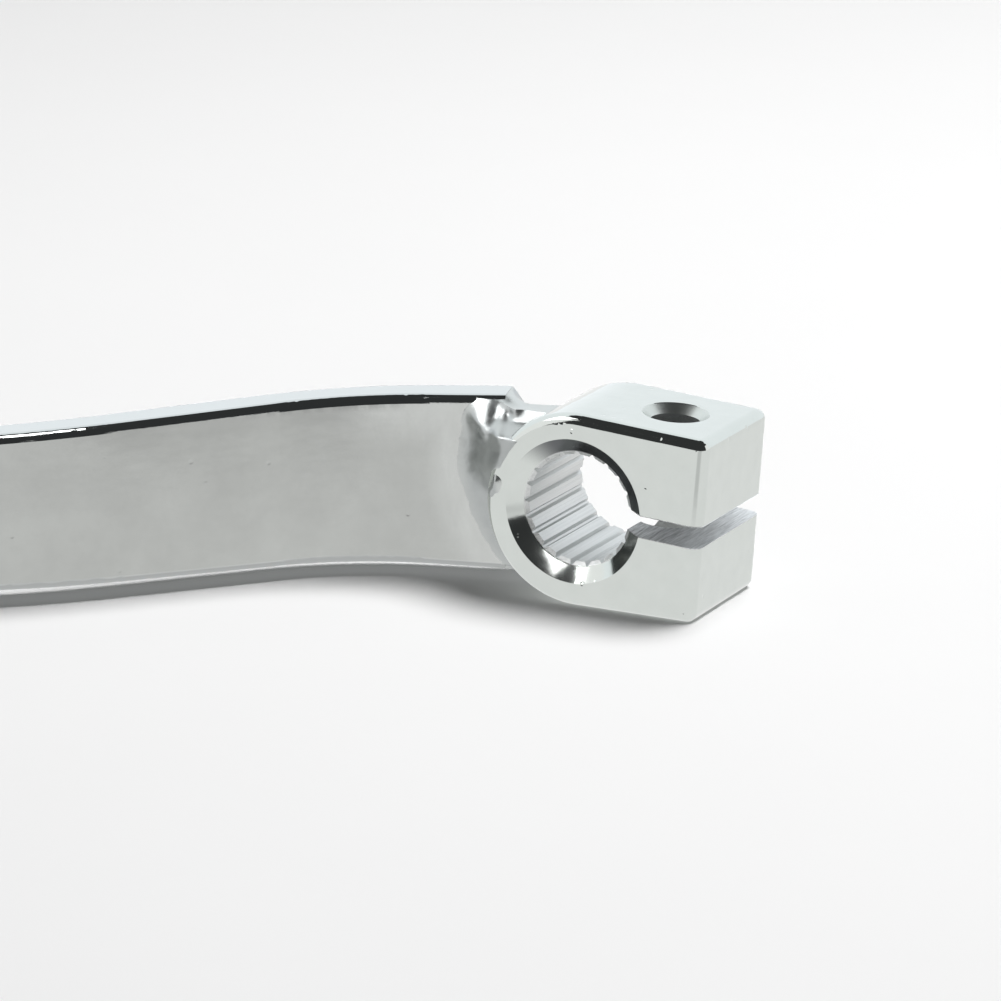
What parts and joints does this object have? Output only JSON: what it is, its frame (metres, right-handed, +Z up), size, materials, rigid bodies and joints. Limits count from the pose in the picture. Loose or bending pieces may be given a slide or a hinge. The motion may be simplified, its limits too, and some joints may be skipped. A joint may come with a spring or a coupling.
{
  "type": "motorcycle gear shift lever",
  "caption": "Cranked flat chrome lever arm with a splined split pinch clamp welded to one end and a rubber-covered toe peg at the other.",
  "frame": {"origin": "on the axis of the splined bore, halfway along it", "axes": "+Y along the spline axis towards the engine, -Y towards the rider's foot, -X from the shaft towards the toe peg, +Z up"},
  "size_m": [0.163, 0.0927, 0.02],
  "materials": {
    "clamp_chrome": "bright chrome plate, mirror-like",
    "arm_chrome": "chrome plate, slightly satin on the wide faces",
    "weld_chrome": "chrome plate over a weld bead, glossy and uneven",
    "peg_chrome": "bright chrome plate over turned steel",
    "toe_rubber": "matt black rubber"
  },
  "bodies": {
    "root": {"spline_clamp": "clamp_chrome", "shift_arm": "arm_chrome", "clamp_weld": "weld_chrome", "toe_peg": "peg_chrome", "toe_rubber": "toe_rubber"}
  },
  "joints": []
}
